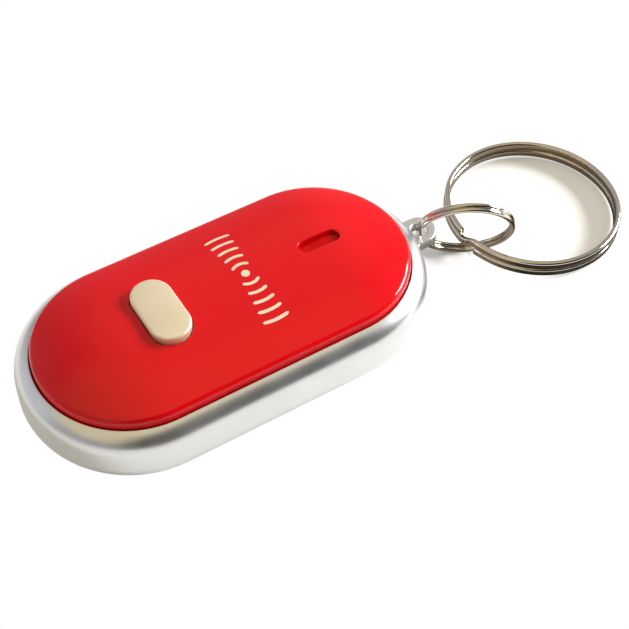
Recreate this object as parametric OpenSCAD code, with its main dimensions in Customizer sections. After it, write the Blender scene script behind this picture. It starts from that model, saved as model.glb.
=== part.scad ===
// Key-ring tracker tag: two-part pill-shaped case with a push button, a light window, a
// coin-cell bay, a circuit board with a sounder, and two linked split rings on its lug.
// Millimetres, +Z up. The origin is the centre of the case's flat underside, and the case
// runs along X with the lug at +X.

/* [Case] */
// Length of the case without its lug
case_l = 55; // [52:0.5:62]
// Width of the case
case_w = 29; // [28:0.5:32]
// Height of the lower shell's rim above the flat underside
rim_h = 9.3; // [9:0.1:10]
// Radius of the lower shell's shoulder
shoulder_r = 3; // [2.4:0.1:3.2]
// Radius of the lower shell's bottom edge
bottom_r = 4; // [3:0.1:4.2]
// Thickness of the lower shell's floor
floor_t = 1.2; // [1:0.1:1.4]

/* [Cover] */
// Width of the red cover
cover_w = 24.5; // [24:0.1:24.8]
// Height of the cover's crown above its own edge
crown_h = 2.6; // [1.5:0.1:3]
// Height of the cover's edge above the rim
cover_step = 1; // [0.6:0.1:1.4]
// Radius of the cover's outer edge
cover_edge_r = 0.9; // [0.5:0.1:1]
// Thickness of the cover
cover_t = 1.2; // [1:0.1:1.4]
// Gap in the seam between the cover and the lower shell
seam = 0.15; // [0.1:0.05:0.3]

/* [Button] */
// Distance of the button's centre from the middle of the case
button_x = -8.7; // [-11:0.1:-8]
// Length of the button, across the case
button_l = 10; // [9:0.1:10.4]
// Width of the button, along the case
button_w = 5.3; // [4.6:0.1:5.6]
// Height of the button's top above the cover
button_rise = 0.75; // [0.4:0.05:1]
// Travel of the button
button_travel = 0.3; // [0.2:0.05:0.35]

/* [Light window] */
// Distance of the window's centre from the middle of the case
window_x = 13.6; // [12:0.1:15]
// Length of the window
window_l = 5.7; // [4:0.1:7]
// Width of the window
window_w = 1.9; // [1.4:0.1:2.4]
// Depth of the light guide's top below the cover's surface
window_depth = 0.7; // [0.4:0.1:1]

/* [Lug] */
// Distance of the lug's hole from the middle of the case
lug_x = 29.4; // [29.2:0.1:31]
// Radius of the lug's rounded end
lug_r = 2.3; // [2.1:0.1:2.8]
// Thickness of the lug
lug_t = 1.5; // [1.3:0.1:1.6]
// Height of the lug's upper face
lug_top = 6; // [5.5:0.1:6.2]
// Diameter of the lug's hole
lug_hole_d = 2.2; // [2.2:0.1:2.6]

/* [Coin cell] */
// Diameter of the coin cell
cell_d = 16; // [15.8:0.1:16]
// Thickness of the coin cell
cell_t = 3.2; // [2:0.1:3.2]
// Distance of the cell's centre from the middle of the case
cell_x = -9.9; // [-10:0.05:-9.8]

/* [Rings] */
// Outer diameter of the small split ring
small_od = 13.1; // [13:0.1:13.3]
// Wire diameter of the small split ring
small_wire = 0.7; // [0.6:0.05:0.7]
// Outer diameter of the large split ring
large_od = 24.4; // [24:0.1:25]
// Height of the large split ring's two coils together
large_h = 2.4; // [2:0.1:2.5]
// Thickness of the large split ring's flat wire, in and out
large_t = 0.75; // [0.6:0.05:0.9]

/* [Hidden] */

fine = 96;                       // facets of a round part as drawn
eps = 0.05;                      // overshoot of a cut past the face it leaves
gap = 0.05;                      // clearance between pieces that only just part
half_w = case_w / 2;
spine = (case_l - case_w) / 2;   // half the straight length that every pill outline shares
cover_r = cover_w / 2;
cavity_r = cover_r + seam;

// Crown of the cover: one arc across the case, the same arc turned round each end
crown_top = rim_h + cover_step + crown_h;
crown_r = (pow(cover_r, 2) + pow(crown_h, 2)) / (2 * crown_h);
crown_z = crown_top - crown_r;
edge_x = cover_r - cover_edge_r;
edge_z = crown_z + sqrt(pow(crown_r - cover_edge_r, 2) - pow(edge_x, 2));
edge_a = atan2(edge_z - crown_z, edge_x);
inner_r = cover_r - cover_t;
inner_crown_r = crown_r - cover_t;
skirt_z = 6.9;

// Circuit board and what holds it
board_z = 5.8;
board_t = 1;
board_r = 10.8;
board_top = board_z + board_t;
board_screw_at = [[21.5, 0], [-18.6, 7.6], [-18.6, -7.6]];
board_post_r = 1.7;
board_shank_r = 0.6;
board_pilot_r = 0.65;
board_hole_r = 0.8;
board_screw_head_r = 1.4;
board_screw_head_h = 0.8;
board_shank_l = 3.2;

// Screws that hold the two halves of the case together
case_screw_at = [[3.6, 8.2], [3.6, -8.2]];
case_split_z = 3;                // where the cover's bosses stand on the shell's
case_head_r = 1.6;
case_head_z = 0.3;
case_head_h = 1.1;
case_recess_r = 1.8;
case_recess_h = 1.5;
case_shank_r = 0.85;
case_shank_l = 6;
case_pilot_r = 0.9;
case_hole_r = 1.1;
cover_boss_r = 2.2;
shell_boss_r = 2.6;

// Battery bay in the floor
door_r = 9.3;
door_t = 0.8;
door_gap = 0.15;
door_pocket = 1.25;              // depth of the door's pocket in the floor
door_tab_t = 1.2;
door_tab_r = 2.3;
door_screw_x = cell_x - 11.2;
door_spigot_r = 8.2;
door_spigot_top = 1.6;
bay_r = 8.5;
bay_ring_r = 10.6;
bay_ring_top = 2.2;
door_head_r = 1.5;
door_head_z = 0.05;
door_head_h = 0.65;
door_recess_r = 1.65;
door_recess_h = 0.72;
door_shank_r = 1;
door_shank_top = 4.2;
door_hole_r = 1.1;
insert_r = 1.6;
insert_bore_r = 1.05;
insert_z = 1.7;
insert_h = 3;
insert_boss_r = 2.5;
insert_boss_top = 5;
cross_l = 1.6;                   // cross recess of the small screws
cross_w = 0.4;
cross_h = 0.35;

// Coin cell
cell_r = cell_d / 2;
cell_z = 1.75;
can_t = 0.25;
can_rim = 0.1;                   // how far the cap stands above the can
seal_t = 0.35;
contact_t = 0.2;

// Push switch under the button
switch_w = 6;
switch_h = 2.5;
plunger_r = 1.7;
plunger_top = board_top + 3.1;
plunger_z = 8.2;
plunger_flange_r = 2.4;
plunger_flange_t = 0.45;
switch_cavity_r = 2.5;
switch_cavity_z = board_top + 0.3;
switch_cavity_top = 8.7;
dome_r = 2.3;
dome_h = 0.95;
dome_t = 0.12;

// Button cap
button_gap = 0.12;
button_top = crown_top + button_rise;
button_edge_r = 0.3;
button_flange_z = 10.3;
button_flange_t = 0.6;
button_flange_w = 1;
button_stem_r = 1.6;

// Sounder over the holes in the floor
sounder_x = 12;
sounder_r = 7.5;
gasket_w = 1.4;
gasket_t = 0.6;
disc_t = 0.2;
ceramic_r = 5;
sound_hole_r = 0.6;
sound_hole_ring = 3;
sound_holes = 6;
lead_r = 0.35;
lead_bend_r = 0.9;

// Split rings. The small one passes through the lug's hole and stands on its edge. The large
// one lies through it: its far side is on the plane that the case lies on, and its near side
// is just above the small ring's wire.
rest_gap = 0.03;
small_mid_r = (small_od - small_wire) / 2;
small_pitch = 0.94 * small_wire; // the two coils press together
small_yaw = -29.5;               // turned this far from straight out
small_lean = 17.4;               // leans this far from upright
lug_mid_z = lug_top - lug_t / 2;
small_c_z = rest_gap + small_mid_r * cos(small_lean) + small_pitch / 2 * sin(small_lean) + small_wire / 2;
small_c_up = (small_c_z - lug_mid_z) / cos(small_lean);
small_c_out = sqrt(pow(small_mid_r, 2) - pow(small_c_up, 2));
large_out = 18.2;                // from the lug's hole to the large ring's centre
large_side = -1.5;
large_tilt = 3;
large_tilt_a = 202;              // direction of its high side
large_c_z = rest_gap + large_od / 2 * sin(large_tilt) + large_h / 2 * cos(large_tilt);
groove = 0.12;                   // groove between its two coils

function arc(c, r, a0, a1, n) =
    [for (i = [0:n]) [c[0] + r * cos(a0 + (a1 - a0) * i / n), c[1] + r * sin(a0 + (a1 - a0) * i / n)]];

// A section turned round both ends of a straight run of half-length s along X
module pill(s) {
    for (side = [-1, 1])
        translate([side * s, 0, 0]) rotate([0, 0, side > 0 ? -90 : 90])
            rotate_extrude(angle = 180, $fn = fine) children();
    rotate([90, 0, 90]) translate([0, 0, -s]) linear_extrude(2 * s) {
        children();
        mirror([1, 0]) children();
    }
}

module stadium(l, w) {
    square([l - w, w], center = true);
    for (side = [-1, 1]) translate([side * (l - w) / 2, 0]) circle(d = w, $fn = fine);
}

module screw(head_r, head_h, shank_r, shank_l) {
    difference() {
        cylinder(r = head_r, h = head_h, $fn = fine);
        for (turn = [0, 90]) rotate([0, 0, turn])
            translate([-cross_l / 2, -cross_w / 2, -eps]) cube([cross_l, cross_w, cross_h + eps]);
    }
    translate([0, 0, head_h]) cylinder(r = shank_r, h = shank_l, $fn = fine);
}

module shell_outline() {
    polygon(concat([[0, 0]],
        arc([half_w - bottom_r, bottom_r], bottom_r, -90, 0, 10),
        arc([half_w - shoulder_r, rim_h - shoulder_r], shoulder_r, 0,
            acos((cavity_r - half_w + shoulder_r) / shoulder_r), 10),
        [[0, rim_h - shoulder_r]]));
}

module cavity_outline() {
    fillet = bottom_r - floor_t;
    polygon(concat([[0, floor_t]],
        arc([cavity_r - fillet, floor_t + fillet], fillet, -90, 0, 6),
        [[cavity_r, rim_h + 1], [0, rim_h + 1]]));
}

module lug_plate() {
    translate([0, 0, lug_top - lug_t]) linear_extrude(lug_t) {
        translate([lug_x, 0]) circle(r = lug_r, $fn = fine);
        translate([half_w + spine - 1.2, -lug_r]) square([lug_x - half_w - spine + 1.2, 2 * lug_r]);
    }
}

module lug_hole() {
    chamfer = 0.2;
    r = lug_hole_d / 2;
    translate([lug_x, 0, lug_top - lug_t]) {
        translate([0, 0, -eps]) cylinder(r = r, h = lug_t + 2 * eps, $fn = fine);
        translate([0, 0, lug_t - chamfer]) cylinder(r1 = r, r2 = r + chamfer + eps, h = chamfer + eps, $fn = fine);
        translate([0, 0, -eps]) cylinder(r1 = r + chamfer + eps, r2 = r, h = chamfer + eps, $fn = fine);
    }
}

module door_pocket_outline() {
    translate([cell_x, 0]) circle(r = door_r + door_gap, $fn = fine);
    translate([door_screw_x, 0]) circle(r = door_tab_r + door_gap, $fn = fine);
    translate([door_screw_x, -door_tab_r - door_gap])
        square([cell_x - door_r - door_screw_x + 1, 2 * (door_tab_r + door_gap)]);
}

module lower_shell() {
    color("silver") difference() {
        union() {
            difference() {
                pill(spine) shell_outline();
                pill(spine) cavity_outline();
            }
            lug_plate();
            translate([cell_x, 0, floor_t - eps])
                cylinder(r = bay_ring_r, h = bay_ring_top - floor_t + eps, $fn = fine);
            translate([door_screw_x, 0, floor_t - eps])
                cylinder(r = insert_boss_r, h = insert_boss_top - floor_t + eps, $fn = fine);
            for (p = case_screw_at) translate([p[0], p[1], floor_t - eps])
                cylinder(r = shell_boss_r, h = case_split_z - floor_t + eps, $fn = fine);
            for (p = board_screw_at) translate([p[0], p[1], floor_t - eps])
                cylinder(r = board_post_r, h = board_z - floor_t + eps, $fn = fine);
        }
        lug_hole();
        translate([0, 0, -eps]) linear_extrude(door_pocket + eps) door_pocket_outline();
        translate([cell_x, 0, 0]) cylinder(r = bay_r, h = bay_ring_top + 1, $fn = fine);
        translate([door_screw_x, 0, 0]) cylinder(r = insert_r, h = insert_boss_top + 1, $fn = fine);
        for (p = case_screw_at) translate([p[0], p[1], -eps]) {
            cylinder(r = case_recess_r, h = case_recess_h + eps, $fn = fine);
            cylinder(r = case_hole_r, h = case_split_z + 1, $fn = fine);
        }
        for (p = board_screw_at) translate([p[0], p[1], board_z - board_shank_l])
            cylinder(r = board_pilot_r, h = board_shank_l + 1, $fn = fine);
        for (i = [0:sound_holes - 1]) translate([sounder_x, 0, -eps])
            rotate([0, 0, i * 360 / sound_holes]) translate([sound_hole_ring, 0, 0])
                cylinder(r = sound_hole_r, h = floor_t + 1, $fn = fine);
    }
}

module cover_outline() {
    inner_edge_a = acos(inner_r / inner_crown_r);
    polygon(concat(
        [[inner_r, skirt_z], [cover_r, skirt_z]],
        arc([edge_x, edge_z], cover_edge_r, 0, edge_a, 6),
        arc([0, crown_z], crown_r, edge_a, 90, 12),
        arc([0, crown_z], inner_crown_r, 90, inner_edge_a, 10)));
}

module cover_boss(p) {
    boss_top = 10.9;
    pilot_l = case_shank_l;
    translate([p[0], p[1], case_split_z]) difference() {
        cylinder(r = cover_boss_r, h = boss_top - case_split_z, $fn = fine);
        translate([0, 0, -eps]) cylinder(r = case_pilot_r, h = pilot_l, $fn = fine);
    }
}

module top_cover() {
    color("red") difference() {
        union() {
            pill(spine) cover_outline();
            for (p = case_screw_at) cover_boss(p);
        }
        translate([button_x, 0, crown_z]) rotate([0, 0, 90]) linear_extrude(2 * crown_r)
            stadium(button_l + 2 * button_gap, button_w + 2 * button_gap);
        translate([window_x, 0, skirt_z]) linear_extrude(crown_top) stadium(window_l, window_w);
    }
}

module button_cap() {
    crown = 0.12;
    r = button_w / 2;
    color("wheat") translate([button_x, 0, 0]) {
        rotate([0, 0, 90]) pill((button_l - button_w) / 2)
            polygon(concat([[0, button_flange_z + button_flange_t], [r, button_flange_z + button_flange_t]],
                arc([r - button_edge_r, button_top - crown - button_edge_r], button_edge_r, 0, 90, 6),
                [[0, button_top]]));
        translate([0, 0, button_flange_z]) rotate([0, 0, 90]) linear_extrude(button_flange_t)
            stadium(button_l + 2 * button_flange_w, button_w + 2 * button_flange_w);
        translate([0, 0, plunger_top + gap])
            cylinder(r = button_stem_r, h = button_flange_z - plunger_top, $fn = fine);
    }
}

module light_guide() {
    foot_z = 10.6;
    foot_t = 0.8;
    foot_w = 1;
    color("crimson") translate([window_x, 0, 0]) {
        translate([0, 0, board_top + 1.3]) linear_extrude(crown_top - window_depth - board_top - 1.3)
            stadium(window_l - 2 * gap, window_w - 2 * gap);
        translate([0, 0, foot_z]) linear_extrude(foot_t)
            stadium(window_l + 2 * foot_w, window_w + 2 * foot_w);
    }
}

module circuit_board() {
    notch_r = cover_boss_r + 0.4;
    color("darkgreen") translate([0, 0, board_z]) linear_extrude(board_t) difference() {
        stadium(2 * (spine + board_r), 2 * board_r);
        for (side = [0, 1]) mirror([0, side]) translate(case_screw_at[0]) {
            circle(r = notch_r, $fn = fine);
            translate([-notch_r, 0]) square([2 * notch_r, board_r]);
        }
        for (p = board_screw_at) translate(p) circle(r = board_hole_r, $fn = fine);
    }
}

// A board-mounted part: a plain block standing on the board
module block(at, size) {
    translate([at[0] - size[0] / 2, at[1] - size[1] / 2, board_top]) cube(size);
}

module radio_chip() {
    color("dimgray") block([0, 0], [5, 5, 0.9]);
}

module crystal() {
    color("silver") block([0, 5.2], [3.2, 2.5, 0.8]);
}

module chip_antenna() {
    color("ivory") block([17, 6.2], [7, 2, 1.2]);
}

module chip_passives() {
    for (row = [0, 1]) for (i = [0:3]) color("tan")
        block([-4.2 + i * 1.5, -4.6 - row * 1.6], [0.6, 1.1, 0.5]);
}

module boost_inductor() {
    color("gray") block([9, -5.4], [3, 3, 1.5]);
}

module driver_transistor() {
    color("black") block([9, 5.4], [2.9, 1.4, 1.1]);
}

module indicator_led() {
    color("white") block([window_x, 0], [3.2, 1.6, 1.1]);
}

module switch_housing() {
    color("black") translate([button_x, 0, board_top]) difference() {
        translate([-switch_w / 2, -switch_w / 2, 0]) cube([switch_w, switch_w, switch_h]);
        translate([0, 0, switch_cavity_z - board_top])
            cylinder(r = switch_cavity_r, h = switch_cavity_top - switch_cavity_z, $fn = fine);
        translate([0, 0, 1]) cylinder(r = plunger_r + gap, h = switch_h, $fn = fine);
    }
}

module switch_terminals() {
    leg_t = 0.2;
    leg_w = 0.7;
    leg_h = 1.2;
    foot = 1.1;
    color("silver") for (side = [-1, 1]) for (y = [-2.2, 2.2])
        translate([button_x + side * switch_w / 2, y - leg_w / 2, board_top])
            mirror([side < 0 ? 1 : 0, 0, 0]) {
                cube([leg_t, leg_w, leg_h]);
                cube([foot, leg_w, leg_t]);
            }
}

module switch_plunger() {
    color("black") translate([button_x, 0, 0]) {
        translate([0, 0, plunger_z]) cylinder(r = plunger_flange_r, h = plunger_flange_t, $fn = fine);
        translate([0, 0, plunger_z]) cylinder(r = plunger_r, h = plunger_top - plunger_z, $fn = fine);
    }
}

module snap_dome() {
    ball_r = (pow(dome_r, 2) + pow(dome_h, 2)) / (2 * dome_h);
    rim_a = asin((ball_r - dome_h) / ball_r);
    color("silver") translate([button_x, 0, switch_cavity_z + dome_h - ball_r + dome_t * sin(rim_a)])
        rotate_extrude($fn = fine)
            polygon(concat(arc([0, 0], ball_r, rim_a, 90, 8), arc([0, 0], ball_r - dome_t, 90, rim_a, 8)));
}

module sounder_gasket() {
    color("darkslategray") translate([sounder_x, 0, floor_t]) difference() {
        cylinder(r = sounder_r, h = gasket_t, $fn = fine);
        translate([0, 0, -eps]) cylinder(r = sounder_r - gasket_w, h = gasket_t + 2 * eps, $fn = fine);
    }
}

module sounder_disc() {
    color("goldenrod") translate([sounder_x, 0, floor_t + gasket_t])
        cylinder(r = sounder_r, h = disc_t, $fn = fine);
}

module sounder_ceramic() {
    color("whitesmoke") translate([sounder_x, 0, floor_t + gasket_t + disc_t])
        cylinder(r = ceramic_r, h = disc_t, $fn = fine);
}

// An insulated lead: up from the sounder, along under the board, and up to the board
module sounder_lead(from, turn, run) {
    rise = (board_z - from[2]) / 2;
    translate(from) rotate([0, 0, turn]) {
        cylinder(r = lead_r, h = rise - lead_bend_r, $fn = fine);
        translate([lead_bend_r, 0, rise - lead_bend_r]) rotate([90, 0, 0]) rotate([0, 0, 90])
            rotate_extrude(angle = 90, $fn = fine) translate([lead_bend_r, 0]) circle(r = lead_r, $fn = fine);
        translate([lead_bend_r, 0, rise]) rotate([0, 90, 0])
            cylinder(r = lead_r, h = run - 2 * lead_bend_r, $fn = fine);
        translate([run - lead_bend_r, 0, rise + lead_bend_r]) rotate([90, 0, 0]) rotate([0, 0, -90])
            rotate_extrude(angle = 90, $fn = fine) translate([lead_bend_r, 0]) circle(r = lead_r, $fn = fine);
        translate([run, 0, rise + lead_bend_r]) cylinder(r = lead_r, h = rise - lead_bend_r, $fn = fine);
    }
}

module sounder_lead_red() {
    color("red") sounder_lead([sounder_x + 2, 1.5, floor_t + gasket_t + 2 * disc_t], 60, 5);
}

module sounder_lead_black() {
    color("black") sounder_lead([sounder_x + 5.8, -1, floor_t + gasket_t + disc_t], -80, 5);
}

module cell_can() {
    color("silver") translate([cell_x, 0, cell_z]) difference() {
        cylinder(r = cell_r, h = cell_t - can_rim, $fn = fine);
        translate([0, 0, can_t]) cylinder(r = cell_r - can_t, h = cell_t, $fn = fine);
    }
}

module cell_seal() {
    color("dimgray") translate([cell_x, 0, cell_z + can_t]) difference() {
        cylinder(r = cell_r - can_t, h = cell_t - can_t - can_rim, $fn = fine);
        translate([0, 0, -eps]) cylinder(r = cell_r - can_t - seal_t, h = cell_t, $fn = fine);
    }
}

module cell_cap() {
    color("lightgray") translate([cell_x, 0, cell_z + can_t])
        cylinder(r = cell_r - can_t - seal_t, h = cell_t - can_t, $fn = fine);
}

module positive_contact() {
    reach = 60;
    in_r = cell_r + gap;
    color("gold") translate([cell_x, 0, 0]) {
        translate([0, 0, 2.7]) rotate([0, 0, -reach / 2]) rotate_extrude(angle = reach, $fn = fine)
            translate([in_r, 0]) square([contact_t, 2.3]);
        translate([in_r + contact_t / 4, -1.5, 4]) cube([contact_t, 3, board_z - 4]);
    }
}

module negative_contact() {
    leaf_l = 9;
    sag = board_z - cell_z - cell_t - contact_t;
    r = (pow(leaf_l / 2, 2) + pow(sag, 2)) / (2 * sag);
    end_a = asin(leaf_l / 2 / r);
    low_z = cell_z + cell_t + gap / 2;
    color("gold") translate([cell_x, 0, low_z + r]) rotate([90, 0, 0]) translate([0, 0, -1.5])
        linear_extrude(3)
            polygon(concat(arc([0, 0], r, 270 - end_a, 270 + end_a, 12),
                arc([0, 0], r - contact_t, 270 + end_a, 270 - end_a, 12)));
}

module battery_door() {
    color("silver") difference() {
        union() {
            translate([cell_x, 0, 0]) cylinder(r = door_r, h = door_t, $fn = fine);
            translate([cell_x, 0, 0]) cylinder(r = door_spigot_r, h = door_spigot_top, $fn = fine);
            translate([door_screw_x, -door_tab_r, 0])
                cube([cell_x - door_r - door_screw_x + 0.5, 2 * door_tab_r, door_t]);
            translate([door_screw_x, 0, 0]) cylinder(r = door_tab_r, h = door_t, $fn = fine);
            translate([door_screw_x, 0, 0]) cylinder(r = door_recess_r + 0.2, h = door_tab_t, $fn = fine);
        }
        translate([door_screw_x, 0, -eps]) {
            cylinder(r = door_recess_r, h = door_recess_h + eps, $fn = fine);
            cylinder(r = door_hole_r, h = door_tab_t + 1, $fn = fine);
        }
    }
}

module door_seal() {
    color("black") translate([cell_x, 0, door_t]) difference() {
        cylinder(r = door_r - 0.25, h = door_pocket - door_t - gap, $fn = fine);
        translate([0, 0, -eps]) cylinder(r = bay_r + gap, h = 1, $fn = fine);
    }
}

module door_screw() {
    color("lightsteelblue") translate([door_screw_x, 0, door_head_z])
        screw(door_head_r, door_head_h, door_shank_r, door_shank_top - door_head_z - door_head_h);
}

module threaded_insert() {
    color("gold") translate([door_screw_x, 0, insert_z]) difference() {
        cylinder(r = insert_r, h = insert_h, $fn = fine);
        translate([0, 0, -eps]) cylinder(r = insert_bore_r, h = insert_h + 2 * eps, $fn = fine);
    }
}

module case_screws() {
    color("lightsteelblue") for (p = case_screw_at) translate([p[0], p[1], case_head_z])
        screw(case_head_r, case_head_h, case_shank_r, case_shank_l);
}

module board_screws() {
    color("lightsteelblue") for (p = board_screw_at)
        translate([p[0], p[1], board_top + board_screw_head_h]) mirror([0, 0, 1])
            screw(board_screw_head_r, board_screw_head_h, board_shank_r, board_shank_l + board_t - 0.5);
}

// Two coils of round wire pressed together. The ring stands on its edge, leans, and passes
// through the lug's hole.
module small_split_ring() {
    color("gainsboro") translate([lug_x, 0, lug_mid_z]) rotate([0, 0, small_yaw])
        rotate([small_lean - 90, 0, 0]) translate([small_c_out, -small_c_up, 0])
            rotate_extrude($fn = fine) translate([small_mid_r, 0]) {
                translate([0, small_pitch / 2]) circle(d = small_wire, $fn = 32);
                translate([0, -small_pitch / 2]) circle(d = small_wire, $fn = 32);
            }
}

// Two coils of flat wire pressed together
module large_split_ring() {
    in_r = large_od / 2 - large_t;
    coil_h = (large_h - groove) / 2;
    color("gainsboro") translate([lug_x + large_out, large_side, large_c_z])
        rotate([0, 0, large_tilt_a]) rotate([0, -large_tilt, 0]) rotate_extrude($fn = fine) {
            translate([in_r, groove / 2]) square([large_t, coil_h]);
            translate([in_r, -groove / 2 - coil_h]) square([large_t, coil_h]);
            translate([in_r + groove, -large_h / 4]) square([large_t - 2 * groove, large_h / 2]);
        }
}

lower_shell();
top_cover();
button_cap();
light_guide();
circuit_board();
radio_chip();
crystal();
chip_antenna();
chip_passives();
boost_inductor();
driver_transistor();
indicator_led();
switch_housing();
switch_terminals();
switch_plunger();
snap_dome();
sounder_gasket();
sounder_disc();
sounder_ceramic();
sounder_lead_red();
sounder_lead_black();
cell_can();
cell_seal();
cell_cap();
positive_contact();
negative_contact();
battery_door();
door_seal();
door_screw();
threaded_insert();
case_screws();
board_screws();
small_split_ring();
large_split_ring();
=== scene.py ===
import math

import bmesh
import bpy
from mathutils import Matrix, Vector
from mathutils.geometry import delaunay_2d_cdt


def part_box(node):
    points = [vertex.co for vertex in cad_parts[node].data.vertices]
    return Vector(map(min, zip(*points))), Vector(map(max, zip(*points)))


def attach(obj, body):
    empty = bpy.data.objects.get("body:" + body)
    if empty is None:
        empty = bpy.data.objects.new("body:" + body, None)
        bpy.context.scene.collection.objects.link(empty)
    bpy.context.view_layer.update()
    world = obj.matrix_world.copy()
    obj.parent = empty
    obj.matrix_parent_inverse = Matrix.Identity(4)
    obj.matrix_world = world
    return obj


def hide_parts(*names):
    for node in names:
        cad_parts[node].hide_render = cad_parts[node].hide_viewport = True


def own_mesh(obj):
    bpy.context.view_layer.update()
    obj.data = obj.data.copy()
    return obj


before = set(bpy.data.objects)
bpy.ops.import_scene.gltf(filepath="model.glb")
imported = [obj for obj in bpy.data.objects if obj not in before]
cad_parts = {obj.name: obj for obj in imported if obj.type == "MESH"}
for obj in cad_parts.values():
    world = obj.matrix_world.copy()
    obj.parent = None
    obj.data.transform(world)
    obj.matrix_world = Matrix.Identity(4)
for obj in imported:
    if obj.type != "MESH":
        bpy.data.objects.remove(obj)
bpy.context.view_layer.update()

MM = 0.001
TAU = 2 * math.pi

# ---------------------------------------------------------------- sizes, from the frame
shell_lo, shell_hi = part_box("lower_shell")
cover_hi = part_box("top_cover")[1]
button_lo, button_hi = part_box("button_cap")
guide_lo, guide_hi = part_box("light_guide")

HALF_W = shell_hi.y                       # half the case's width
SPINE = -shell_lo.x - HALF_W              # half the straight run that every pill outline shares
COVER_R = cover_hi.y
COVER_TOP = cover_hi.z
RIM_TOP = 9.3 * MM                        # height at which the shoulder's arc would close
SHOULDER_R = 3.0 * MM
BOTTOM_R = 4.0 * MM
FLOOR_T = 1.2 * MM
SEAM = 0.15 * MM
CAVITY_R = COVER_R + SEAM
CROWN_H = 2.6 * MM                        # rise of the cover's crown
CROWN_R = (COVER_R ** 2 + CROWN_H ** 2) / (2 * CROWN_H)
CROWN_Z = COVER_TOP - CROWN_R
COVER_T = 1.2 * MM
COVER_EDGE_R = 0.9 * MM
LUG_R = 2.3 * MM
LUG_X = shell_hi.x - LUG_R
LUG_TOP = 6.0 * MM
LUG_T = 1.5 * MM
LUG_HOLE_R = 1.1 * MM

ARC_STEPS = 56                            # per half turn of a pill outline
LINE_STEPS = 28
MERGE = 1e-7                              # points closer than this are one point
ON_AXIS = 1e-9                            # a radius below this is a point on the axis
PLATE_MARGIN = 0.6                        # of a plate's spacing, kept free along its outlines
ROW_PITCH = 0.866                         # of a plate's spacing, between its rows of points


# ---------------------------------------------------------------- mesh helpers
def pill_loop(radius, spine=SPINE, centre=(0, 0), turn=0.0, arc_steps=ARC_STEPS, line_steps=LINE_STEPS):
    """Points of a pill outline, counter-clockwise from its lower right, turned about its centre."""
    points = []
    for side, start in ((1, -math.pi / 2), (-1, math.pi / 2)):
        for i in range(arc_steps):
            a = start + math.pi * i / arc_steps
            points.append((side * spine + radius * math.cos(a), radius * math.sin(a)))
        for i in range(line_steps):
            t = i / line_steps
            points.append((side * spine * (1 - 2 * t), side * radius))
    c, s = math.cos(turn), math.sin(turn)
    return [(centre[0] + x * c - y * s, centre[1] + x * s + y * c) for x, y in points]


def round_rect_loop(half_l, half_w, corner, centre, corner_steps=10, side_steps=10):
    """Points of a rounded rectangle, counter-clockwise."""
    corners = ((1, -1, -math.pi / 2), (1, 1, 0), (-1, 1, math.pi / 2), (-1, -1, math.pi))
    points = []
    for k, (sx, sy, start) in enumerate(corners):
        cx, cy = sx * (half_l - corner), sy * (half_w - corner)
        for i in range(corner_steps + 1):
            a = start + math.pi / 2 * i / corner_steps
            points.append((centre[0] + cx + corner * math.cos(a), centre[1] + cy + corner * math.sin(a)))
        nx, ny, nstart = corners[(k + 1) % 4]
        end = Vector(points[-1])
        to = Vector((centre[0] + nx * (half_l - corner) + corner * math.cos(nstart),
                     centre[1] + ny * (half_w - corner) + corner * math.sin(nstart)))
        for i in range(1, side_steps):
            points.append(tuple(end.lerp(to, i / side_steps)))
    return points


def circle_loop(radius, centre=(0, 0), steps=64):
    """Points of a circle, counter-clockwise."""
    return [(centre[0] + radius * math.cos(TAU * i / steps), centre[1] + radius * math.sin(TAU * i / steps))
            for i in range(steps)]


def arc_points(centre, radius, start, end, steps):
    """Points of an arc from start to end, in degrees."""
    out = []
    for i in range(steps + 1):
        a = math.radians(start + (end - start) * i / steps)
        out.append((centre[0] + radius * math.cos(a), centre[1] + radius * math.sin(a)))
    return out


def offset_loop(loop, distance):
    """A counter-clockwise loop moved outwards by a small distance."""
    out = []
    for i, p in enumerate(loop):
        a, b = Vector(loop[i - 1]), Vector(loop[(i + 1) % len(loop)])
        t = (b - a).normalized()
        out.append((p[0] + t.y * distance, p[1] - t.x * distance))
    return out


def inside(point, loop):
    """Whether a point is inside a loop."""
    x, y = point
    hit = False
    for i, (x1, y1) in enumerate(loop):
        x0, y0 = loop[i - 1]
        if (y0 > y) != (y1 > y) and x < (x1 - x0) * (y - y0) / (y1 - y0) + x0:
            hit = not hit
    return hit


def add_ring(bm, loop, height):
    """A ring of vertices over a loop, at a height or at what a height function says."""
    z = height if callable(height) else (lambda x, y: height)
    return [bm.verts.new((x, y, z(x, y))) for x, y in loop]


def bridge(bm, a, b):
    """Quads between two rings of equal length."""
    n = len(a)
    for i in range(n):
        j = (i + 1) % n
        bm.faces.new((a[i], a[j], b[j], b[i]))


def skin(bm, rings):
    """Quads along a row of rings."""
    for a, b in zip(rings, rings[1:]):
        bridge(bm, a, b)


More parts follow.
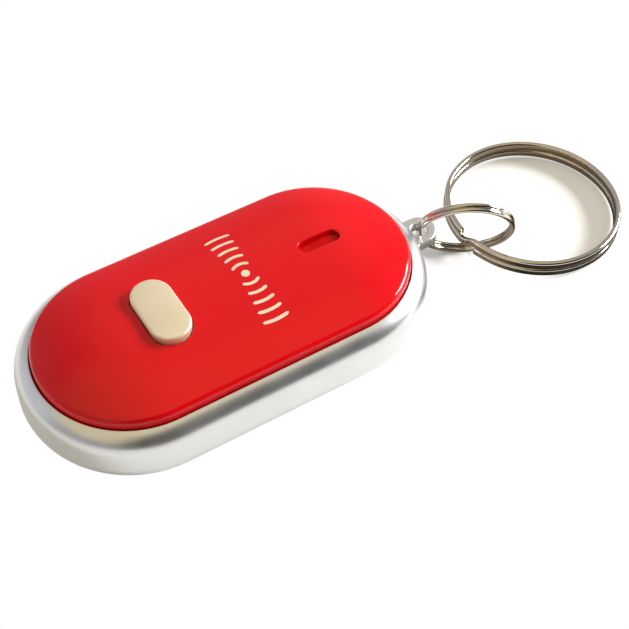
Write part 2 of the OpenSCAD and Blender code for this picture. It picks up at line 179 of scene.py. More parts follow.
def plate(bm, outer, holes, height, spacing, flip=False):
    """A triangulated sheet inside a loop and outside the holes, raised by a height function."""
    z = height if callable(height) else (lambda x, y: height)
    points, edges = [], []
    for loop in [outer, *holes]:
        base = len(points)
        points += [Vector(p) for p in loop]
        edges += [(base + i, base + (i + 1) % len(loop)) for i in range(len(loop))]
    keep_in = offset_loop(outer, -PLATE_MARGIN * spacing)
    keep_out = [offset_loop(h, PLATE_MARGIN * spacing) for h in holes]
    xs, ys = [p[0] for p in outer], [p[1] for p in outer]
    row = 0
    y = min(ys)
    while y < max(ys):
        x = min(xs) + (row % 2) * spacing / 2
        while x < max(xs):
            if inside((x, y), keep_in) and not any(inside((x, y), h) for h in keep_out):
                points.append(Vector((x, y)))
            x += spacing
        y += spacing * ROW_PITCH
        row += 1
    got, _, faces, *_ = delaunay_2d_cdt(points, edges, [], 1, 1e-9)
    verts = [bm.verts.new((p.x, p.y, z(p.x, p.y))) for p in got]
    for f in faces:
        mid = sum((got[i] for i in f), Vector((0, 0))) / len(f)
        if inside(mid, outer) and not any(inside(mid, h) for h in holes):
            bm.faces.new([verts[i] for i in (f[::-1] if flip else f)])
    for v in [v for v in verts if not v.link_faces]:
        bm.verts.remove(v)


def fan(bm, ring, flip=False):
    """One face across a ring."""
    bm.faces.new(ring[::-1] if flip else ring)


def finish_mesh(name, bm, smooth_angle=30):
    """The bmesh as an object, with sharp edges past an angle."""
    bmesh.ops.remove_doubles(bm, verts=bm.verts, dist=MERGE)
    bmesh.ops.recalc_face_normals(bm, faces=bm.faces)
    mesh = bpy.data.meshes.new(name)
    bm.to_mesh(mesh)
    bm.free()
    obj = bpy.data.objects.new(name, mesh)
    bpy.context.scene.collection.objects.link(obj)
    shade(obj, smooth_angle)
    return obj


def shade(obj, smooth_angle):
    """Smooth shading, with sharp edges past an angle."""
    mesh = obj.data
    for p in mesh.polygons:
        p.use_smooth = True
    mesh.set_sharp_from_angle(angle=math.radians(smooth_angle))


def apply_modifiers(obj):
    """The object's mesh as its modifiers leave it."""
    graph = bpy.context.evaluated_depsgraph_get()
    mesh = bpy.data.meshes.new_from_object(obj.evaluated_get(graph))
    old = obj.data
    obj.modifiers.clear()
    obj.data = mesh
    bpy.data.meshes.remove(old)


def turned_solid(bm, profile, centre, steps=64):
    """A closed solid turned from a profile of (radius, z) points about a vertical axis.

    The profile starts and ends on the axis, or closes on itself where its first radius isn't 0."""
    on_axis = profile[0][0] < ON_AXIS
    rings = []
    for r, z in profile:
        if r < ON_AXIS:
            rings.append([bm.verts.new((centre[0], centre[1], z))])
        else:
            rings.append(add_ring(bm, circle_loop(r, centre, steps), z))
    pairs = list(zip(rings, rings[1:]))
    if not on_axis:
        pairs.append((rings[-1], rings[0]))
    for a, b in pairs:
        if len(a) == 1 and len(b) == 1:
            continue
        if len(a) == 1 or len(b) == 1:
            tip, rim = (a[0], b) if len(a) == 1 else (b[0], a)
            for i in range(steps):
                bm.faces.new((tip, rim[i], rim[(i + 1) % steps]))
        else:
            bridge(bm, a, b)


def cutter(build):
    """A throwaway solid for boolean()."""
    bm = bmesh.new()
    build(bm)
    return finish_mesh("cutter", bm)


def boolean(obj, tool, operation):
    """Joins a solid to an object or cuts it away, and deletes the solid."""
    m = obj.modifiers.new("cut", "BOOLEAN")
    m.operation = operation
    m.solver = "EXACT"
    m.object = tool
    apply_modifiers(obj)
    bpy.data.objects.remove(tool)


def soften(obj, width, angle, segments):
    """Small rounds on every sharp edge."""
    m = obj.modifiers.new("soften", "BEVEL")
    m.width = width
    m.segments = segments
    m.limit_method = "ANGLE"
    m.angle_limit = math.radians(angle)
    apply_modifiers(obj)
    shade(obj, 40)


# ---------------------------------------------------------------- materials
NOISE_ROUGHNESS = 0.55


class Nodes:
    """Short calls for a material's node tree."""

    def __init__(self, name):
        self.material = bpy.data.materials.new(name)
        self.material.use_nodes = True
        self.tree = self.material.node_tree
        self.shader = self.tree.nodes["Principled BSDF"]
        self.coords = self.tree.nodes.new("ShaderNodeTexCoord").outputs["Object"]

    def set(self, **values):
        for key, value in values.items():
            self.shader.inputs[key.replace("_", " ")].default_value = value
        return self

    def link(self, output, socket):
        self.tree.links.new(output, self.shader.inputs[socket])

    def noise(self, scale, detail, stretch=None):
        node = self.tree.nodes.new("ShaderNodeTexNoise")
        node.inputs["Scale"].default_value = scale
        node.inputs["Detail"].default_value = detail
        node.inputs["Roughness"].default_value = NOISE_ROUGHNESS
        source = self.coords
        if stretch:
            mapping = self.tree.nodes.new("ShaderNodeMapping")
            mapping.inputs["Scale"].default_value = stretch
            self.tree.links.new(self.coords, mapping.inputs["Vector"])
            source = mapping.outputs["Vector"]
        self.tree.links.new(source, node.inputs["Vector"])
        return node.outputs["Fac"]

    def cells(self, scale):
        node = self.tree.nodes.new("ShaderNodeTexVoronoi")
        node.inputs["Scale"].default_value = scale
        self.tree.links.new(self.coords, node.inputs["Vector"])
        return node.outputs["Color"]

    def ramp(self, factor, stops):
        node = self.tree.nodes.new("ShaderNodeValToRGB")
        points = node.color_ramp.elements
        while len(points) < len(stops):
            points.new(0.5)
        for point, (place, colour) in zip(points, stops):
            point.position = place
            point.color = (*colour, 1)
        self.tree.links.new(factor, node.inputs["Fac"])
        return node.outputs["Color"]

    def spread(self, factor, low, high, from_low=0.3, from_high=0.7):
        node = self.tree.nodes.new("ShaderNodeMapRange")
        node.inputs["From Min"].default_value = from_low
        node.inputs["From Max"].default_value = from_high
        node.inputs["To Min"].default_value = low
        node.inputs["To Max"].default_value = high
        self.tree.links.new(factor, node.inputs["Value"])
        return node.outputs["Result"]

    def mix(self, factor, a, b):
        node = self.tree.nodes.new("ShaderNodeMix")
        node.data_type = "RGBA"
        for socket, value in ((node.inputs[6], a), (node.inputs[7], b)):
            if isinstance(value, tuple):
                socket.default_value = (*value, 1)
            else:
                self.tree.links.new(value, socket)
        self.tree.links.new(factor, node.inputs[0])
        return node.outputs[2]

    def bump(self, height, strength, distance, after=None):
        node = self.tree.nodes.new("ShaderNodeBump")
        node.inputs["Strength"].default_value = strength
        node.inputs["Distance"].default_value = distance
        self.tree.links.new(height, node.inputs["Height"])
        if after is not None:
            self.tree.links.new(after, node.inputs["Normal"])
        normal = node.outputs["Normal"]
        self.link(normal, "Normal")
        return normal


def silver_paint():
    """Satin metallic paint: fine flakes, faint cloudiness, a thin clear coat."""
    n = Nodes("silver_paint").set(Metallic=0.9, Coat_Weight=0.05, Coat_Roughness=0.3)
    cloud = n.noise(90, 3)
    flakes = n.cells(9000)
    base = n.ramp(cloud, [(0.3, (0.62, 0.635, 0.66)), (0.7, (0.68, 0.695, 0.72))])
    n.link(n.mix(n.spread(flakes, 0.0, 0.16, 0.0, 1.0), base, (0.84, 0.84, 0.84)), "Base Color")
    n.link(n.spread(n.noise(260, 4), 0.27, 0.33), "Roughness")
    grain = n.bump(n.noise(9000, 2), 0.12, 0.00003)
    n.bump(n.noise(120, 2), 0.05, 0.0002, grain)
    return n.material


def red_gloss():
    """Glossy red plastic, slightly translucent, with faint moulding flow and uneven gloss."""
    n = Nodes("red_gloss").set(IOR=1.49, Specular_IOR_Level=0.3,
                               Subsurface_Weight=0.08, Subsurface_Scale=0.0006)
    n.shader.inputs["Subsurface Radius"].default_value = (1.0, 0.12, 0.08)
    flow = n.noise(60, 3, stretch=(0.25, 1, 1))
    n.link(n.ramp(flow, [(0.25, (0.60, 0.002, 0.005)), (0.75, (0.67, 0.004, 0.009))]), "Base Color")
    n.link(n.spread(n.noise(700, 5, stretch=(0.1, 1, 1)), 0.055, 0.11), "Roughness")
    n.bump(n.noise(55, 1), 0.05, 0.00025)
    return n.material


def champagne_paint():
    """Satin champagne paint with fine flakes."""
    n = Nodes("champagne_paint").set(Metallic=0.5, Coat_Weight=0.1, Coat_Roughness=0.3)
    base = n.ramp(n.noise(150, 3), [(0.3, (0.80, 0.69, 0.50)), (0.7, (0.86, 0.75, 0.56))])
    n.link(n.mix(n.spread(n.cells(9000), 0.0, 0.15, 0.0, 1.0), base, (0.9, 0.84, 0.72)), "Base Color")
    n.link(n.spread(n.noise(400, 4), 0.30, 0.38), "Roughness")
    n.bump(n.noise(9000, 2), 0.12, 0.00003)
    return n.material


def red_lens():
    """Deep red see-through plastic, as it looks with its light off."""
    n = Nodes("red_lens").set(IOR=1.49, Specular_IOR_Level=0.15,
                              Subsurface_Weight=0.3, Subsurface_Scale=0.0008)
    n.link(n.ramp(n.noise(500, 2), [(0.3, (0.44, 0.0, 0.001)), (0.7, (0.50, 0.0, 0.002))]), "Base Color")
    n.link(n.spread(n.noise(1500, 3), 0.16, 0.26), "Roughness")
    n.bump(n.noise(2500, 2), 0.06, 0.00005)
    return n.material


def nickel():
    """Polished nickel plate: faint smudges and a fine unevenness."""
    n = Nodes("nickel").set(Metallic=1.0)
    n.link(n.ramp(n.noise(180, 4), [(0.3, (0.52, 0.48, 0.42)), (0.7, (0.62, 0.58, 0.51))]), "Base Color")
    n.link(n.spread(n.noise(500, 5), 0.07, 0.15), "Roughness")
    fine = n.bump(n.noise(5200, 3), 0.03, 0.00003)
    n.bump(n.noise(330, 2), 0.04, 0.0001, fine)
    return n.material


def print_ink():
    """Matt beige ink."""
    n = Nodes("print_ink")
    n.link(n.ramp(n.noise(900, 4), [(0.3, (0.66, 0.58, 0.42)), (0.7, (0.76, 0.68, 0.52))]), "Base Color")
    n.link(n.spread(n.noise(2000, 3), 0.35, 0.5), "Roughness")
    n.bump(n.noise(4000, 3), 0.15, 0.00003)
    return n.material


def plain(name, dark, light, rough, grain, metallic=0.0, bump=0.12):
    """A moulded or plated surface: two close tones, uneven gloss and a fine grain."""
    n = Nodes(name).set(Metallic=metallic)
    n.link(n.ramp(n.noise(grain * 0.15, 4), [(0.3, dark), (0.7, light)]), "Base Color")
    n.link(n.spread(n.noise(grain * 0.4, 4), rough * 0.8, rough * 1.2), "Roughness")
    n.bump(n.noise(grain, 3), bump, 0.00004)
    return n.material


# ---------------------------------------------------------------- the cover
def crown(x, y, drop=0.0):
    """Height of the cover's crown, or of a surface that lies a distance inside it."""
    rho = math.hypot(max(abs(x) - SPINE, 0), y)
    return CROWN_Z + math.sqrt((CROWN_R - drop) ** 2 - rho ** 2)


EDGE_X = COVER_R - COVER_EDGE_R
EDGE_Z = CROWN_Z + math.sqrt((CROWN_R - COVER_EDGE_R) ** 2 - EDGE_X ** 2)
EDGE_ANGLE = math.degrees(math.atan2(EDGE_Z - CROWN_Z, EDGE_X))
COVER_IN_R = COVER_R - COVER_T
COVER_SKIRT_Z = 6.9 * MM
BUTTON_X = (button_lo.x + button_hi.x) / 2
BUTTON_FLANGE_W = 1.0 * MM
BUTTON_GAP = 0.12 * MM
BUTTON_HALF_W = (button_hi.x - button_lo.x) / 2 - BUTTON_FLANGE_W
BUTTON_HALF_L = button_hi.y - BUTTON_FLANGE_W
GUIDE_FOOT_W = 1.0 * MM
WINDOW_X = (guide_lo.x + guide_hi.x) / 2
WINDOW_HALF_L = (guide_hi.x - guide_lo.x) / 2 - GUIDE_FOOT_W
WINDOW_HALF_W = guide_hi.y - GUIDE_FOOT_W
WINDOW_CORNER = 0.88 * MM


def hole_wall(bm, loop, fillet):
    """The rounded mouth and the wall of a hole. Returns the loop where its mouth meets the crown."""
    steps = 5
    rings = []
    for i in range(steps + 1):
        a = math.pi / 2 * i / steps
        out = offset_loop(loop, fillet * (1 - math.sin(a)))
        fall = fillet * (1 - math.cos(a))
        rings.append(add_ring(bm, out, lambda x, y, f=fall: crown(x, y) - f))
    rings.append(add_ring(bm, loop, lambda x, y: crown(x, y, COVER_T)))
    skin(bm, rings)
    return offset_loop(loop, fillet)


def make_cover():
    """The crowned cover: edge, skirt, crown inside and out, and its two holes."""
    bm = bmesh.new()
    spacing = 0.55 * MM
    mouth_r = 0.14 * MM
    chamfer = 0.1 * MM
    button_hole = pill_loop(BUTTON_HALF_W + BUTTON_GAP, BUTTON_HALF_L - BUTTON_HALF_W, (BUTTON_X, 0),
                            math.pi / 2, 28, 16)
    window = round_rect_loop(WINDOW_HALF_L, WINDOW_HALF_W, WINDOW_CORNER, (WINDOW_X, 0))
    mouths = [hole_wall(bm, button_hole, mouth_r), hole_wall(bm, window, mouth_r)]
    edge = arc_points((EDGE_X, EDGE_Z), COVER_EDGE_R, EDGE_ANGLE, 0, 10)
    in_top = CROWN_Z + math.sqrt((CROWN_R - COVER_T) ** 2 - COVER_IN_R ** 2)
    profile = edge + [(COVER_R, COVER_SKIRT_Z + chamfer), (COVER_R - chamfer, COVER_SKIRT_Z),
                      (COVER_IN_R, COVER_SKIRT_Z), (COVER_IN_R, in_top)]
    skin(bm, [add_ring(bm, pill_loop(r), z) for r, z in profile])
    top_r = profile[0][0]
    plate(bm, pill_loop(top_r), mouths, crown, spacing)
    plate(bm, pill_loop(COVER_IN_R), [button_hole, window], lambda x, y: crown(x, y, COVER_T),
          3 * spacing, True)
    return finish_mesh("cover_skin", bm, 35)


BOSS_X, BOSS_Y = 3.6 * MM, 8.2 * MM
BOSS_R, BOSS_PILOT_R = 2.2 * MM, 0.9 * MM
BOSS_Z, BOSS_TOP = 3.0 * MM, 10.9 * MM


def make_cover_bosses():
    """The two screw bosses under the cover."""
    bm = bmesh.new()
    chamfer = 0.15 * MM
    for side in (1, -1):
        centre = (BOSS_X, side * BOSS_Y)
        turned_solid(bm, [(BOSS_PILOT_R, BOSS_Z), (BOSS_R - chamfer, BOSS_Z), (BOSS_R, BOSS_Z + chamfer),
                          (BOSS_R, BOSS_TOP), (BOSS_PILOT_R, BOSS_TOP)], centre)
    return finish_mesh("cover_bosses", bm)


# ---------------------------------------------------------------- the lower shell
DOOR_POCKET = 1.25 * MM
DOOR_GAP = 0.15 * MM
door_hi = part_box("battery_door")[1]
cell_lo, cell_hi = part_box("cell_can")
screw_lo, screw_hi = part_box("door_screw")
DOOR_R = door_hi.y
CELL_X = (cell_lo.x + cell_hi.x) / 2
DOOR_SCREW_X = (screw_lo.x + screw_hi.x) / 2
DOOR_TAB_R = 2.3 * MM
BAY_R = 8.5 * MM


def door_loop(gap):
    """The door's outline: a disc with a round tab at its screw."""
    steps = 40
    r, tab = DOOR_R + gap, DOOR_TAB_R + gap
    join = math.asin(tab / r)
    points = []
    for i in range(2 * steps):
        a = math.pi + join + (TAU - 2 * join) * i / (2 * steps - 1)
        points.append((CELL_X + r * math.cos(a), r * math.sin(a)))
    for i in range(steps):
        a = math.pi / 2 + math.pi * i / (steps - 1)
        points.append((DOOR_SCREW_X + tab * math.cos(a), tab * math.sin(a)))
    return points


def prism(bm, loop, low, high):
    """A closed upright solid over a loop."""
    a, b = add_ring(bm, loop, low), add_ring(bm, loop, high)
    bridge(bm, a, b)
    fan(bm, a, True)
    fan(bm, b)


SOUNDER_X = 12 * MM
SOUND_HOLES, SOUND_HOLE_R, SOUND_RING_R = 6, 0.6 * MM, 3 * MM
BAY_RING_R, BAY_RING_TOP = 10.6 * MM, 2.2 * MM
INSERT_R, INSERT_BOSS_R, INSERT_BOSS_TOP = 1.6 * MM, 2.5 * MM, 5 * MM
CASE_SCREW_AT = [(BOSS_X, BOSS_Y), (BOSS_X, -BOSS_Y)]
CASE_RECESS_R, CASE_RECESS_H, CASE_HOLE_R, SHELL_BOSS_R = 1.8 * MM, 1.5 * MM, 1.1 * MM, 2.6 * MM
BOARD_SCREW_AT = [(21.5 * MM, 0), (-18.6 * MM, 7.6 * MM), (-18.6 * MM, -7.6 * MM)]
BOARD_Z, BOARD_POST_R, BOARD_PILOT_R, BOARD_PILOT_H = 5.8 * MM, 1.7 * MM, 0.65 * MM, 3.2 * MM
POST_STEPS = 64


def make_shell():
    """The lower shell: its skin first, then posts joined on, holes cut and edges softened."""
    bm = bmesh.new()
    lip = 0.12 * MM
    top_a = math.degrees(math.acos((CAVITY_R + lip - HALF_W + SHOULDER_R) / SHOULDER_R))
    shoulder = arc_points((HALF_W - SHOULDER_R, RIM_TOP - SHOULDER_R), SHOULDER_R, 0, top_a, 20)
    lip_z = shoulder[-1][1]
    fillet = BOTTOM_R - FLOOR_T
    profile = (arc_points((HALF_W - BOTTOM_R, BOTTOM_R), BOTTOM_R, -90, 0, 18)
               + shoulder
               + [(CAVITY_R + 0.035 * MM, lip_z - 0.03 * MM), (CAVITY_R, lip_z - lip)]
               + [(CAVITY_R, FLOOR_T + fillet + 2 * MM)]
               + arc_points((CAVITY_R - fillet, FLOOR_T + fillet), fillet, 0, -90, 8))
    rings = [add_ring(bm, pill_loop(r), z) for r, z in profile]
    skin(bm, rings)
    fan(bm, rings[0], True)
    fan(bm, rings[-1])
    shell = finish_mesh("shell_skin", bm)
    root_z = FLOOR_T / 2
    through = 0.5 * MM

    def post(radius, top, places):
        """Round posts that stand on the floor. Each is joined on its own."""
        for place in places:
            boolean(shell, cutter(lambda bm: turned_solid(
                bm, [(0, root_z), (radius, root_z), (radius, top), (0, top)], place, POST_STEPS)), "UNION")

    def hole(radius, low, high, places, steps=48):
        """Round holes, cut in one go."""
        def build(bm):
            for place in places:
                prism(bm, circle_loop(radius, place, steps), low, high)
        boolean(shell, cutter(build), "DIFFERENCE")

    post(BAY_RING_R, BAY_RING_TOP, [(CELL_X, 0)])
    post(INSERT_BOSS_R, INSERT_BOSS_TOP, [(DOOR_SCREW_X, 0)])
    post(SHELL_BOSS_R, BOSS_Z, CASE_SCREW_AT)
    post(BOARD_POST_R, BOARD_Z, BOARD_SCREW_AT)
    boolean(shell, cutter(lambda bm: prism(bm, door_loop(DOOR_GAP), -through, DOOR_POCKET)), "DIFFERENCE")
    hole(BAY_R, -through, BAY_RING_TOP + through, [(CELL_X, 0)], 96)
    hole(INSERT_R, -through, INSERT_BOSS_TOP + through, [(DOOR_SCREW_X, 0)])
    hole(CASE_RECESS_R, -through, CASE_RECESS_H, CASE_SCREW_AT)
    hole(CASE_HOLE_R, -through, BOSS_Z + through, CASE_SCREW_AT)
    hole(BOARD_PILOT_R, BOARD_Z - BOARD_PILOT_H, BOARD_Z + through, BOARD_SCREW_AT)
    hole(SOUND_HOLE_R, -through, FLOOR_T + through,
         circle_loop(SOUND_RING_R, (SOUNDER_X, 0), SOUND_HOLES), 32)
    soften(shell, 0.07 * MM, 55, 2)
    return shell


def make_lug():
    """The lug, with a rounded rim, a countersunk hole and a foot that runs into the shell's wall."""
    bm = bmesh.new()
    root_x = SPINE + HALF_W - 1.6 * MM
    flare = 0.9 * MM
    tip_steps, flank = 32, 14
    spacing = 0.4 * MM
    outline = []
    for i in range(tip_steps + 1):
        a = -math.pi / 2 + math.pi * i / tip_steps
        outline.append((LUG_X + LUG_R * math.cos(a), LUG_R * math.sin(a)))
    wall_x = SPINE + HALF_W - 0.25 * MM
    for i in range(1, flank + 1):
        t = i / flank
        x = LUG_X + (root_x - LUG_X) * t
        near = max(0.0, 1 - max(x - wall_x, 0) / flare)
        outline.append((x, LUG_R + flare * 0.8 * near ** 2))
    outline += [(x, -y) for x, y in reversed(outline[tip_steps + 1:])]
    hole = circle_loop(LUG_HOLE_R, (LUG_X, 0), 64)
    low, high = LUG_TOP - LUG_T, LUG_TOP
    edge, sink = 0.28 * MM, 0.2 * MM

    def quarter(radius, steps):
        """(inset, fall) steps round an edge, from its face to its wall."""
        turns = [math.pi / 2 * i / steps for i in range(steps + 1)]
        return [(radius * (1 - math.sin(a)), radius * (1 - math.cos(a))) for a in turns]

    rim = quarter(edge, 6)
    skin(bm, [add_ring(bm, offset_loop(outline, -inset), high - fall) for inset, fall in rim]
         + [add_ring(bm, offset_loop(outline, -inset), low + fall) for inset, fall in reversed(rim)])
    mouth_round = quarter(sink, 4)
    skin(bm, [add_ring(bm, offset_loop(hole, inset), high - fall) for inset, fall in mouth_round]
         + [add_ring(bm, offset_loop(hole, inset), low + fall) for inset, fall in reversed(mouth_round)])
    inner = offset_loop(outline, -edge)
    mouth = offset_loop(hole, sink)
    plate(bm, inner, [mouth], high, spacing)
    plate(bm, inner, [mouth], low, spacing, True)
    return finish_mesh("shell_lug", bm, 35)


# ---------------------------------------------------------------- button, guide, print
def make_button():
    """The push button: a domed pill with a flange under the cover and a stem over the switch."""
    bm = bmesh.new()
    chamfer, root = 0.1 * MM, 0.15 * MM
    spine = BUTTON_HALF_L - BUTTON_HALF_W
    r = BUTTON_HALF_W
    top = button_hi.z
    edge = 0.3 * MM
    crown_rise = 0.12 * MM
    edge_z = top - crown_rise - edge
    flange_z, flange_t = 10.3 * MM, 0.6 * MM
    fr = r + BUTTON_FLANGE_W
    stem_r = 1.6 * MM
    profile = ([(fr - chamfer, flange_z), (fr, flange_z + chamfer), (fr, flange_z + flange_t - chamfer),
                (fr - chamfer, flange_z + flange_t), (r + root, flange_z + flange_t),
                (r, flange_z + flange_t + root), (r, edge_z - 0.4 * MM)]
               + arc_points((r - edge, edge_z), edge, 0, 84, 10))

    def outline(radius):
        return pill_loop(radius, spine, (BUTTON_X, 0), math.pi / 2, 28, 8)

    rings = [add_ring(bm, outline(radius), z) for radius, z in profile]
    skin(bm, rings)
    fan(bm, rings[0], True)
    last_r, last_z = profile[-1]

    def dome(x, y):
        d = math.hypot(x - BUTTON_X, max(abs(y) - spine, 0))
        return top - (top - last_z) * (d / last_r) ** 2

    plate(bm, outline(last_r), [], dome, 0.45 * MM)
    stem_top = flange_z + 0.2 * MM
    turned_solid(bm, [(0, button_lo.z), (stem_r - chamfer, button_lo.z), (stem_r, button_lo.z + chamfer),
                      (stem_r, stem_top), (0, stem_top)], (BUTTON_X, 0))
    return finish_mesh("button_body", bm, 35)


def make_guide():
    """The light guide: the window's red floor, with a foot under the cover."""
    bm = bmesh.new()
    gap = 0.05 * MM
    foot_z, foot_t = 10.6 * MM, 0.8 * MM
    half_l, half_w = WINDOW_HALF_L - gap, WINDOW_HALF_W - gap
    centre = (WINDOW_X, 0)
    edge = 0.08 * MM

    def loop(grow):
        return round_rect_loop(half_l + grow, half_w + grow, WINDOW_CORNER - gap + grow, centre, 8, 6)

    foot = 0.9 * MM
    rings = [add_ring(bm, loop(g), z) for g, z in
             [(0, guide_lo.z), (0, foot_z), (foot, foot_z), (foot, foot_z + foot_t), (0, foot_z + foot_t),
              (0, guide_hi.z - edge), (-edge, guide_hi.z)]]
    skin(bm, rings)
    fan(bm, rings[0], True)
    fan(bm, rings[-1])
    return finish_mesh("guide_body", bm, 35)


DOME_H, DOME_T = 0.95 * MM, 0.12 * MM


def make_snap_dome():
    """The switch's dome: a thin cap, built in its rest shape; the real one flattens as the plunger comes
    down.
    """
    lo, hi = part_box("snap_dome")
    radius = (hi.x - lo.x) / 2
    ball = (radius ** 2 + DOME_H ** 2) / (2 * DOME_H)
    rim = math.degrees(math.acos(radius / ball))
    centre = (0, hi.z - ball)
    bm = bmesh.new()
    turned_solid(bm, arc_points(centre, ball, rim, 90, 10) + arc_points(centre, ball - DOME_T, 90, rim, 10),
                 ((lo.x + hi.x) / 2, 0), 48)
    return finish_mesh("dome_cap", bm, 35)


PRINT_LIFT = 0.02 * MM                    # how far the ink stands out of the crown, and reaches into it
SIGN_AT = (3.0 * MM, 0)
SIGN_ARCS = 5
SIGN_FIRST_R, SIGN_STEP_R = 1.7, 1.45     # mm
SIGN_HALF_L, SIGN_HALF_L_STEP = 1.15, 0.16
SIGN_WIDTH, SIGN_DOT_R = 0.42 * MM, 0.55 * MM
SIGN_WIDEST = 0.8                         # sine of the widest arc's half angle


def arc_strip(bm, centre, radius, half_angle, toward, width):
    """A printed stroke along an arc, as a thin closed solid that follows the crown."""
    steps = 18
    rows = []
    for i in range(steps + 1):
        a = toward + half_angle * (2 * i / steps - 1)
        end = min(i, steps - i) / 2
        w = width / 2 * min(1.0, math.sqrt(max(0.05, 1 - (1 - min(end, 1.0)) ** 2)))
        rows.append([(centre[0] + r * math.cos(a), centre[1] + r * math.sin(a))
                     for r in (radius - w, radius + w)])
    top = [[bm.verts.new((x, y, crown(x, y) + PRINT_LIFT)) for x, y in row] for row in rows]
    low = [[bm.verts.new((x, y, crown(x, y) - PRINT_LIFT)) for x, y in row] for row in rows]
    for i in range(steps):
        bm.faces.new((top[i][0], top[i][1], top[i + 1][1], top[i + 1][0]))
        bm.faces.new((low[i][0], low[i + 1][0], low[i + 1][1], low[i][1]))
        for k in (0, 1):
            bm.faces.new((top[i][k], top[i + 1][k], low[i + 1][k], low[i][k]))
    for i in (0, steps):
        bm.faces.new((top[i][0], top[i][1], low[i][1], low[i][0]))


def make_print():
    """A plain sound-wave sign: a dot with arcs to both sides."""
    bm = bmesh.new()
    for k in range(SIGN_ARCS):
        radius = (SIGN_FIRST_R + SIGN_STEP_R * k) * MM
        half_angle = math.asin(min(SIGN_WIDEST, (SIGN_HALF_L + SIGN_HALF_L_STEP * k) * MM / radius))
        for toward in (math.pi / 2, -math.pi / 2):
            arc_strip(bm, SIGN_AT, radius, half_angle, toward, SIGN_WIDTH)
    ring = circle_loop(SIGN_DOT_R, SIGN_AT, 28)
    a = add_ring(bm, ring, lambda x, y: crown(x, y) - PRINT_LIFT)
    b = add_ring(bm, ring, lambda x, y: crown(x, y) + PRINT_LIFT)
    bridge(bm, a, b)
    fan(bm, a, True)
    fan(bm, b)
    return finish_mesh("printed_sign", bm, 40)


# ---------------------------------------------------------------- split rings
END_CAP = ((0.93, 0.03 * MM), (0.8, 0.05 * MM))   # a wire end's rounding: (size, distance out)


def smooth_step(t):
    """0 to 1 with a soft start and end."""
    t = min(1.0, max(0.0, t))
    return t * t * (3 - 2 * t)


def coil(name, origin, out, up, axis, radius, level, gap_mid, gap_half, section, steps_per_turn=150):
    """Two turns of wire pressed together. The wire changes level inside the gap, where its two ends stop."""
    bm = bmesh.new()
    start = gap_mid + gap_half
    total = 2 * TAU - 2 * gap_half
    steps = int(steps_per_turn * total / TAU)
    rings = []
    for i in range(steps + 1):
        a = start + total * i / steps
        cross = (a - (gap_mid + TAU - gap_half)) / (2 * gap_half)
        h = level * (2 * smooth_step(cross) - 1)
        radial = out * math.cos(a) + up * math.sin(a)
        centre = origin + radial * radius + axis * h
        rings.append([bm.verts.new(centre + radial * u + axis * v) for u, v in section])
    skin(bm, rings)
    for ring, inner, flip in ((rings[0], rings[1], True), (rings[-1], rings[-2], False)):
        mid = sum((v.co for v in ring), Vector()) / len(ring)
        outward = (ring[0].co - inner[0].co).normalized()
        last = ring
        for shrink, push in END_CAP:
            cap = [bm.verts.new(mid + (v.co - mid) * shrink + outward * push) for v in ring]
            bridge(bm, last, cap)
            last = cap
        fan(bm, last, flip)
    return finish_mesh(name, bm, 50)


def turn_matrix(*turns):
    """One matrix for turns of (degrees, axis)."""
    m = Matrix.Identity(3)
    for angle, axis in turns:
        m = m @ Matrix.Rotation(math.radians(angle), 3, axis)
    return m


SMALL_OD, SMALL_WIRE = 13.1 * MM, 0.7 * MM
SMALL_LEVEL = 0.47                        # of the wire's thickness, from the ring's middle to a turn's
LARGE_OD, LARGE_H, LARGE_T = 24.4 * MM, 2.4 * MM, 0.75 * MM
LARGE_TURN_GAP = 0.06 * MM                # between the large ring's two turns
LARGE_CORNER = 0.34 * MM
# Angles, in degrees. A gap is where a ring's wire changes level and its two ends stop.
SMALL_YAW, SMALL_LEAN = -29.5, 17.4
SMALL_GAP_PAST_HOLE, SMALL_GAP_HALF = 2, 31
LARGE_TILT, LARGE_TILT_AT = 3.0, 202
LARGE_GAP_AT, LARGE_GAP_HALF = -16.5, 7   # round from its high side


def ring_centre(node):
    lo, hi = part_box(node)
    return (lo + hi) / 2


def make_small_ring():
    m = turn_matrix((SMALL_YAW, "Z"), (SMALL_LEAN - 90, "X"))
    out, axis = m @ Vector((1, 0, 0)), m @ Vector((0, 0, 1))
    up = axis.cross(out)
    if up.z < 0:
        up, axis = -up, -axis
    centre = ring_centre("small_split_ring")
    hole = Vector((LUG_X, 0, LUG_TOP - LUG_T / 2)) - centre
    hole_at = math.atan2(hole.dot(up), hole.dot(out))
    section = circle_loop(SMALL_WIRE / 2, (0, 0), 20)
    return coil("small_ring_wire", centre, out, up, axis,
                (SMALL_OD - SMALL_WIRE) / 2, SMALL_LEVEL * SMALL_WIRE,
                hole_at + math.radians(SMALL_GAP_PAST_HOLE), math.radians(SMALL_GAP_HALF), section)


def make_large_ring():
    m = turn_matrix((LARGE_TILT_AT, "Z"), (-LARGE_TILT, "Y"))
    out, up, axis = (m @ Vector(v) for v in ((1, 0, 0), (0, 1, 0), (0, 0, 1)))
    centre = ring_centre("large_split_ring")
    coil_h = (LARGE_H - LARGE_TURN_GAP) / 2
    section = round_rect_loop(LARGE_T / 2, coil_h / 2, LARGE_CORNER, (0, 0), 4, 3)
    return coil("large_ring_wire", centre, out, up, axis, (LARGE_OD - LARGE_T) / 2, (LARGE_H - coil_h) / 2,
                math.radians(LARGE_GAP_AT), math.radians(LARGE_GAP_HALF), section, 220)


# ---------------------------------------------------------------- assembling
def paint(obj, material):
    obj.data.materials.clear()
    obj.data.materials.append(material)


def fit_out(obj, body, material, *replaced, slot):
    """Gives a piece its material and the body it rides on, and hides the nodes it stands for. Its slot is
    not used.
    """
    paint(obj, material)
    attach(obj, body)
    if replaced:
        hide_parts(*replaced)
    return obj


